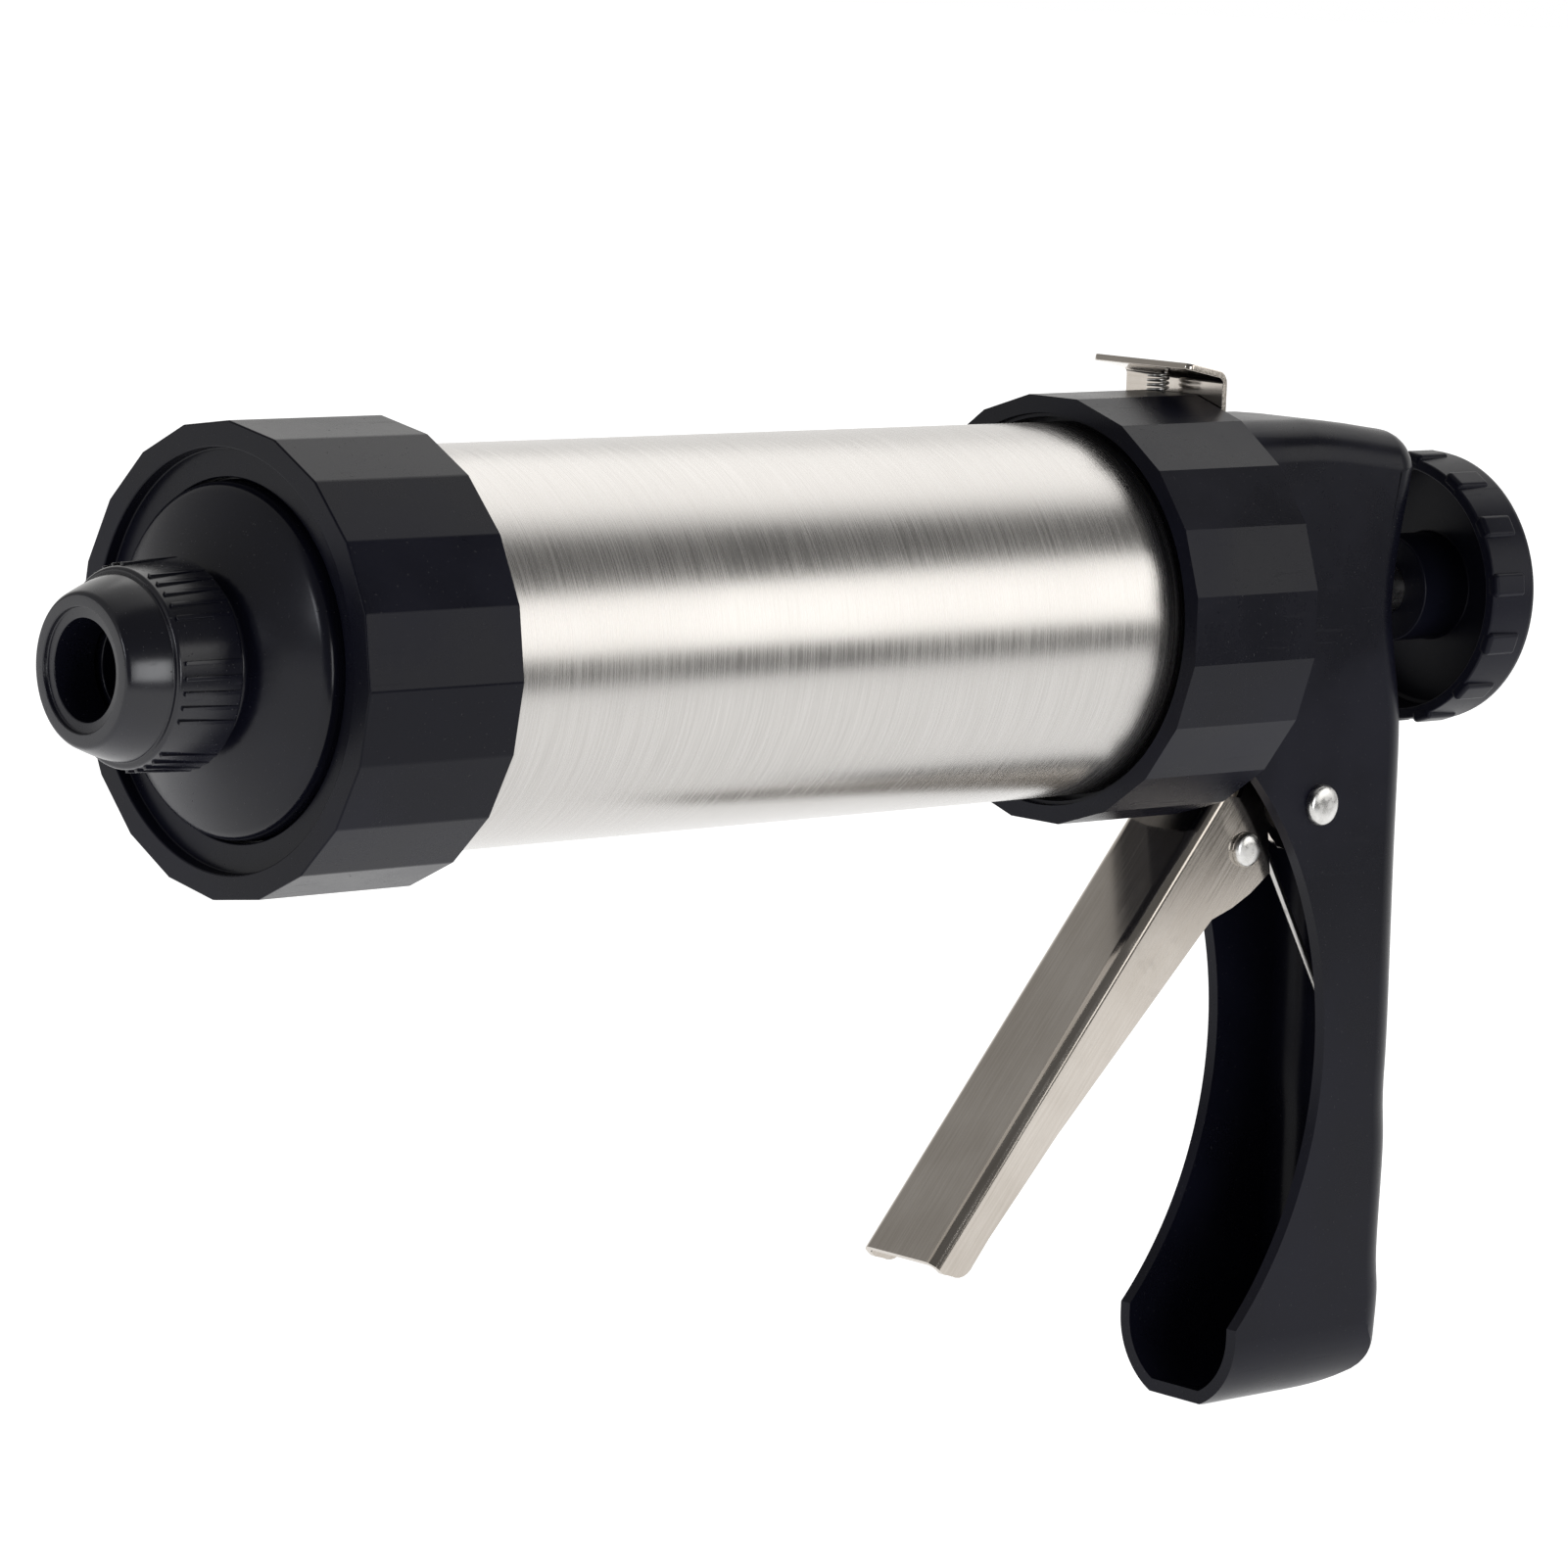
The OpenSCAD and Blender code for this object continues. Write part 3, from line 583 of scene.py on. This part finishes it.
def polished_sheet(name, along, shade=1.0):
    """Polished stainless sheet with fine lines along one direction and a few stray scratches."""
    f = Finish(name)
    where = f.node("ShaderNodeMapping", inputs={"Vector": f.place(), "Rotation": along})
    lines = f.noise(1.0, 3, 0.6, where=where, stretch=(60, 2600, 2600))
    stray = f.band(f.noise(1.0, 2, 0.5, where=where, stretch=(40, 900, 300)), 0.66, 0.70)
    cloud = f.noise(70, 4)
    smear = f.band(f.noise(180, 3, 0.6), 0.55, 0.75)
    light = (0.56 * shade, 0.520 * shade, 0.475 * shade, 1)
    dark = (0.44 * shade, 0.400 * shade, 0.355 * shade, 1)
    f.set(Base_Color=f.blend(0.5 * f.band(lines, 0.3, 0.7) + 0.5 * f.band(cloud, 0.35, 0.7), dark, light),
          Metallic=1.0,
          Roughness=0.11 + 0.05 * f.band(lines, 0.3, 0.7) + 0.06 * smear + 0.05 * stray,
          Normal=f.bump(lines - 0.6 * stray, 0.00001, 0.2, on=f.bump(cloud, 0.00004, 0.15)))
    return f.material


def channel_edges(piece, y, r, rounds):
    """Rolls the two long front edges over, as the folding tool does."""
    face = Vector((cos(trigger_slope), sin(trigger_slope)))

    def wanted(a, b):
        long = abs((Vector((b.x, b.z)) - Vector((a.x, a.z))).dot(face)) > 60 * mm
        return long and level_at(a, b, y)

    round_edges(piece, wanted, r, rounds)


def trigger():
    hub, ear = (97.9, 15.2), (109.4, 4.6)
    ridge = degrees(atan2(ear[1] - hub[1], ear[0] - hub[0]))
    blank = ([(0.3, 0.0), (88, 0.0), (90.5, 4.4)] +
             arc(ear, 4.0, ridge - 80, ridge + 75, 14) + arc(hub, 7.9, ridge + 68, 195, 18) +
             [(86, 17.9), (81, 16.6), (77, 14.9), (73, 12.5), (69.5, 12.1), (29.4, 8.15), (9.6, 7.1)] +
             arc((4.2, 4.0), 3.2, 80, 170, 6) + [(0.3, 3.0)])
    half, inner_half = 8, 7
    lever = drawn("trigger_channel", [at_trigger(*p) for p in blank], -half, half)
    inner = [(-3, 1.0), (100, 1.0), (100, 40), (-3, 40)]
    hollow = drawn("fold", [at_trigger(*p) for p in inner], -inner_half, inner_half)
    channel_edges(lever, half, 2.1, 8)
    channel_edges(hollow, inner_half, 1.1, 8)
    cut(lever, hollow)
    throat = [(88, -5), (130, -5), (130, 30), (88, 30)]
    cut(lever, drawn("throat", [at_trigger(*p) for p in throat], -inner_half, inner_half))
    soften(lever, 0.16, 2, 30)
    fitted(lever, "trigger", "trigger_steel", polished_sheet("trigger_polish", (0, trigger_slope, 0)),
           "trigger_lever")


trigger()


# ---------------------------------------------------------------------------------------------
# Rivets. Turned steel: the large one is the trigger's pivot through the handle, the small one
# crosses the trigger just in front of it and takes the return spring's front leg.
stop = at_trigger(85.2, 10.7)


def turned_steel(name, centre):
    """Steel with the fine rings that turning leaves round a centre."""
    f = Finish(name)
    middle = (-centre[0] * mm, 0, -centre[1] * mm)
    away = f.node("ShaderNodeMapping", inputs={"Vector": f.place(), "Location": middle, "Scale": (1, 0, 1)})
    radius = f.node("ShaderNodeVectorMath", {"operation": "LENGTH"}, {0: away}, output="Value")
    ring_scale = 5200
    rings = f.noise(1.0, 2, 0.6, where=f.node("ShaderNodeCombineXYZ", inputs={"X": radius * ring_scale}))
    worn = f.noise(700, 3)
    f.set(Base_Color=f.blend(f.band(worn, 0.3, 0.7), (0.55, 0.545, 0.53, 1), (0.72, 0.715, 0.70, 1)),
          Metallic=1.0,
          Roughness=0.24 + 0.14 * f.band(worn, 0.35, 0.7),
          Normal=f.bump(rings, 0.00002, 0.35))
    return f.material


def rivet(name, centre, grip, shank, head, high, body, *nodes):
    """A rivet across the handle: two equal halves, each with its domed head."""
    dome = [(0, shank), (grip / 2, shank), (grip / 2, head), (grip / 2 + high * 0.45, head),
            (grip / 2 + high * 0.75, head * 0.93), (grip / 2 + high * 0.93, head * 0.75),
            (grip / 2 + high, head * 0.4)]
    halves = []
    for side in (1, -1):
        half = plug(name, dome, 64)
        soften(half, 0.12, 2, 30)
        half.rotation_euler = (0, 0, radians(-90 * side))
        half.location = (centre[0] * mm, 0, centre[1] * mm)
        settle(half)
        halves.append(half)
    whole = joined(*halves)
    whole.name = name
    fitted(whole, body, "rivet_steel", turned_steel(name + "_steel", centre), *nodes)


def rivets():
    rivet("pivot_pin", pivot, 25.2, 2.0, 3.2, 1.5, "frame", "pivot_rivet")
    rivet("stop_pin", stop, 16.0, 1.6, 2.7, 1.4, "trigger", "stop_rivet")


rivets()


# ---------------------------------------------------------------------------------------------
# Springs. Drawn steel wire: the return spring is wound round the pivot rivet with one leg on the
# handle's back wall and one under the stop rivet; a small coil lifts the catch.
def coil(name, mean, wire, pitch, turns, around=12):
    """A ring of wire section swept up a screw line, and closed at both ends."""
    clear_selection()
    bpy.ops.mesh.primitive_circle_add(vertices=around, radius=wire * mm, location=(mean * mm, 0, 0),
                                      rotation=(pi / 2, 0, 0))
    piece = bpy.context.object
    piece.name = name
    settle(piece)
    step = piece.modifiers.new("wind", "SCREW")
    step.axis, step.angle, step.screw_offset = "Z", 2 * pi * turns, pitch * turns * mm
    step.steps = step.render_steps = int(28 * turns)
    step.use_merge_vertices = False
    bpy.ops.object.modifier_apply(modifier=step.name)
    bpy.ops.object.mode_set(mode="EDIT")
    bpy.ops.mesh.select_all(action="SELECT")
    bpy.ops.mesh.fill_holes(sides=0)
    bpy.ops.mesh.normals_make_consistent(inside=False)
    bpy.ops.object.mode_set(mode="OBJECT")
    return piece


def leg(start, end, wire):
    """A straight piece of wire between two points."""
    a, b = Vector(start) * mm, Vector(end) * mm
    clear_selection()
    bpy.ops.mesh.primitive_cylinder_add(vertices=12, radius=wire * mm, depth=(b - a).length,
                                        location=(a + b) / 2,
                                        rotation=(b - a).to_track_quat("Z", "Y").to_euler())
    piece = bpy.context.object
    settle(piece)
    bpy.ops.object.mode_set(mode="EDIT")
    bpy.ops.mesh.select_all(action="SELECT")
    bpy.ops.mesh.subdivide(number_cuts=3)
    bpy.ops.object.mode_set(mode="OBJECT")
    return piece


def spring_wire(name):
    f = Finish(name)
    drawn_lines = f.noise(1400, 3, 0.6)
    spots = f.band(f.noise(420, 2), 0.55, 0.75)
    f.set(Base_Color=f.blend(spots, (0.50, 0.49, 0.47, 1), (0.36, 0.35, 0.335, 1)), Metallic=1.0,
          Roughness=0.26 + 0.14 * spots + 0.05 * drawn_lines, Normal=f.bump(drawn_lines, 0.00002, 0.3))
    return f.material


def return_coil():
    wire, mean, pitch = 0.6, 3.3, 1.35
    stop_r, stop_gap, past_stop, back_wall_x = 1.6, 0.05, 3, 222.2
    px, pz = pivot
    sx, sz = stop
    rear = radians(-59.6)
    run = Vector((sx - px, sz - pz))
    front = atan2(run.y, run.x) - (mean - stop_r - wire - stop_gap) / run.length
    swept = degrees(rear - front) - 180
    turns = 3 + (swept / 360 - floor(swept / 360))
    wound = coil("return_coil", mean, wire, pitch, turns)
    turn = Matrix.Rotation(pi / 2 - rear, 4, "Y") @ Matrix.Rotation(-pi / 2, 4, "X")
    wound.rotation_euler = turn.to_euler()
    wound.location = (px * mm, 0, pz * mm)
    settle(wound)
    a = Vector((px + mean * sin(rear), 0, pz - mean * cos(rear)))
    along = Vector((cos(rear), 0, sin(rear)))
    reach = (back_wall_x - a.x) / along.x
    b = Vector((px - mean * sin(front), pitch * turns, pz + mean * cos(front)))
    ahead = Vector((cos(front), 0, sin(front)))
    lap = 0.2
    rear_leg = leg(a - along * lap, a + along * reach, wire)
    front_leg = leg(b - ahead * lap, b + ahead * (run.length + past_stop), wire)
    whole = joined(wound, rear_leg, front_leg)
    bpy.ops.object.shade_smooth_by_angle(angle=radians(60))
    whole.data.materials.clear()
    whole.data.materials.append(spring_wire("return_spring_wire"))
    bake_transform(whole)
    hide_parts("return_spring")


def catch_coil():
    mean, wire, turns = 1.55, 0.21, 4
    floor_z, top = 32.15, 35.45
    small = coil("catch_coil", mean, wire, (top - floor_z - 2 * wire) / turns, turns, 10)
    small.location = (176.6 * mm, 0, (floor_z + wire) * mm)
    settle(small)
    bpy.ops.object.shade_smooth_by_angle(angle=radians(60))
    fitted(small, "frame", "spring_steel", spring_wire("catch_spring_wire"), "catch_spring")
    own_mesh(small)


return_coil()
catch_coil()


# ---------------------------------------------------------------------------------------------
# Release catch. A strip of the same stainless sheet, folded over at the top for the thumb. Its
# window rides on the toothed rod, and pressing the tab lets the rod be drawn back.
def catch():
    slope = 11
    bend = (179.1, 34.2)
    outer = arc(bend, 2.0, 0, 90 - slope, 10)
    inner = arc(bend, 1.0, 90 - slope, 0, 10)
    tip = Vector((-cos(radians(slope)), sin(radians(slope))))
    tab, half = 7.0, 10.3
    far = Vector(outer[-1]) + tip * tab
    near = Vector(inner[0]) + tip * tab
    strip = [(181.1, -10)] + outer + [tuple(far), tuple(near)] + inner + [(180.1, -10)]
    plate = drawn("catch_strip", strip, -half, half)
    cut(plate, drawn("window", [(178, -3.7), (183, -3.7), (183, 5.9), (178, 5.9)], -4.6, 4.6))

    def tab_corner(a, b):
        return max(a.x, b.x) < 173.6 * mm and abs(a.y - b.y) < 0.01 * mm and abs(a.y) > 10 * mm

    round_edges(plate, tab_corner, 1.2, 5)
    soften(plate, 0.14, 2, 30)
    fitted(plate, "catch", "trigger_steel", polished_sheet("catch_polish", (0, 0, pi / 2), 1.04),
           "catch_plate")


catch()


# ---------------------------------------------------------------------------------------------
# Works inside the barrel and the handle. The toothed rod with its bushes, the plunger with its
# rubber cup and nut, the pawl with its pin and spring, the washers and the knob's screw keep the
# shapes they were cut to, and get the finish of plated, turned or moulded parts.
def plated_steel(name, light, dark, rough, lines):
    """Plated steel, a little worn, with fine lines one way."""
    f = Finish(name)
    along = f.noise(1.0, 3, 0.6, stretch=lines)
    worn = f.noise(420, 4)
    f.set(Base_Color=f.blend(f.band(worn, 0.3, 0.7), dark, light), Metallic=1.0,
          Roughness=rough + 0.12 * f.band(worn, 0.35, 0.7) + 0.06 * along,
          Normal=f.bump(along, 0.00003, 0.3))
    return f.material


def soft_rubber(name):
    f = Finish(name)
    bloom = f.noise(160, 4)
    grain = f.noise(2600, 2)
    f.set(Base_Color=f.blend(f.band(bloom, 0.35, 0.7), (0.012, 0.012, 0.012, 1), (0.028, 0.028, 0.028, 1)),
          Roughness=0.55 + 0.2 * f.band(bloom, 0.3, 0.7), Normal=f.bump(grain, 0.00004, 0.5))
    return f.material


def inner_works():
    finishes = {
        "push_rod": plated_steel("rod_plate", (0.66, 0.65, 0.64, 1), (0.50, 0.49, 0.48, 1), 0.22,
                                 (40, 2400, 2400)),
        "front_bush": plated_steel("bush_steel", (0.62, 0.61, 0.60, 1), (0.47, 0.46, 0.45, 1), 0.3,
                                   (2400, 60, 60)),
        "drive_pawl": plated_steel("pawl_steel", (0.50, 0.49, 0.48, 1), (0.34, 0.33, 0.32, 1), 0.36,
                                   (900, 900, 90)),
        "plunger_plate": black_moulding("plunger_black", 0.36, (0.0045, 0.0047, 0.0085), 0.3),
        "plunger_seal": soft_rubber("seal_rubber"),
        "pawl_spring": spring_wire("pawl_spring_wire"),
    }
    alike = {"rear_bush": "front_bush", "plunger_nut": "front_bush", "knob_screw": "front_bush",
             "pawl_pin": "front_bush", "pivot_washers": "front_bush", "plate_gasket": "plunger_seal"}
    for node in list(finishes) + list(alike):
        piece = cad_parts[node]
        piece.data.materials.clear()
        piece.data.materials.append(finishes[alike.get(node, node)])
        pick(piece)
        bpy.ops.object.shade_smooth_by_angle(angle=radians(28))


inner_works()


# ---------------------------------------------------------------------------------------------
# Studio. A glowing white floor and four soft lights: a wide one overhead, a large one on the near side
# beyond the knob, which the steel and the flats mirror, a low one on the near side and a small one
# ahead of the nozzle.
def studio():
    clear_selection()
    size, near_edge, floor_z = 60, -0.4, -0.1295
    bpy.ops.mesh.primitive_plane_add(size=size, location=(0.1, near_edge + size / 2, floor_z))
    floor_piece = bpy.context.object
    floor_piece.name = "studio_floor"
    settle(floor_piece)
    f = Finish("floor_white")
    mottle = f.band(f.noise(30, 3), 0.3, 0.7)
    f.set(Base_Color=f.blend(mottle, (0.34, 0.34, 0.34, 1), (0.37, 0.37, 0.37, 1)), Roughness=0.9,
          Emission_Color=(1, 1, 1, 1), Emission_Strength=1.0, Specular_IOR_Level=0.0)
    floor_piece.data.materials.append(f.material)
    aim = Vector((0.1, 0, -0.03))
    for name, place, size, power, colour in [
            ("overhead", (0.95, 0.37, 1.1), (1.7, 0.80), 3.1, (1, 0.99, 0.975)),
            ("front_box", (0.92, -0.90, 0.27), (0.85, 0.62), 3.3, (1, 0.99, 0.97)),
            ("side_box", (-0.10, -1.25, 0.05), (0.50, 0.50), 4.2, (0.97, 0.98, 1)),
            ("nose_glow", (-1.5, -0.10, 0.40), (0.30, 0.30), 2.0, (0.90, 0.93, 1))]:
        bpy.ops.object.light_add(type="AREA", location=place)
        lamp = bpy.context.object
        lamp.name = name
        lamp.data.shape, lamp.data.size, lamp.data.size_y = "RECTANGLE", size[0], size[1]
        lamp.data.energy, lamp.data.color = power, colour
        lamp.rotation_euler = (aim - Vector(place)).to_track_quat("-Z", "Y").to_euler()

    # The air is white to look at, and dim in front and on the left for what the steel reflects.
    world = bpy.data.worlds.new("studio_air")
    world.use_nodes = True
    bpy.context.scene.world = world
    tree = world.node_tree

    def add(kind, inputs=(), **settings):
        made = tree.nodes.new(kind)
        for key, value in settings.items():
            setattr(made, key, value)
        for key, value in inputs:
            if isinstance(value, bpy.types.NodeSocket):
                tree.links.new(value, made.inputs[key])
            else:
                made.inputs[key].default_value = value
        return made

    way = add("ShaderNodeTexCoord").outputs["Generated"]
    part = add("ShaderNodeSeparateXYZ", [(0, way)])

    def ramp(value, low, high, to_low, to_high):
        limits = [("From Min", low), ("From Max", high), ("To Min", to_low), ("To Max", to_high)]
        made = add("ShaderNodeMapRange", [("Value", value)] + limits, interpolation_type="SMOOTHSTEP")
        return made.outputs[0]

    behind = ramp(part.outputs["Y"], -0.28, -0.04, 0.0, 1.0)
    right = ramp(part.outputs["X"], -0.15, 0.35, 0.30, 1.0)
    both = add("ShaderNodeMath", [(0, behind), (1, right)], operation="MULTIPLY").outputs[0]
    strength = add("ShaderNodeMath", [(0, both), (1, 0.85), (2, 0.15)], operation="MULTIPLY_ADD").outputs[0]
    sky = add("ShaderNodeBackground", [("Color", (1.0, 0.99, 0.975, 1)), ("Strength", strength)])
    seen = add("ShaderNodeBackground", [("Color", (1, 1, 1, 1)), ("Strength", 1.0)])
    path = add("ShaderNodeLightPath")
    either = add("ShaderNodeMixShader", [(0, path.outputs["Is Camera Ray"]), (1, sky.outputs[0]),
                                         (2, seen.outputs[0])])
    tree.links.new(either.outputs[0], tree.nodes["World Output"].inputs["Surface"])
    bpy.context.scene.view_settings.view_transform = "Standard"


studio()
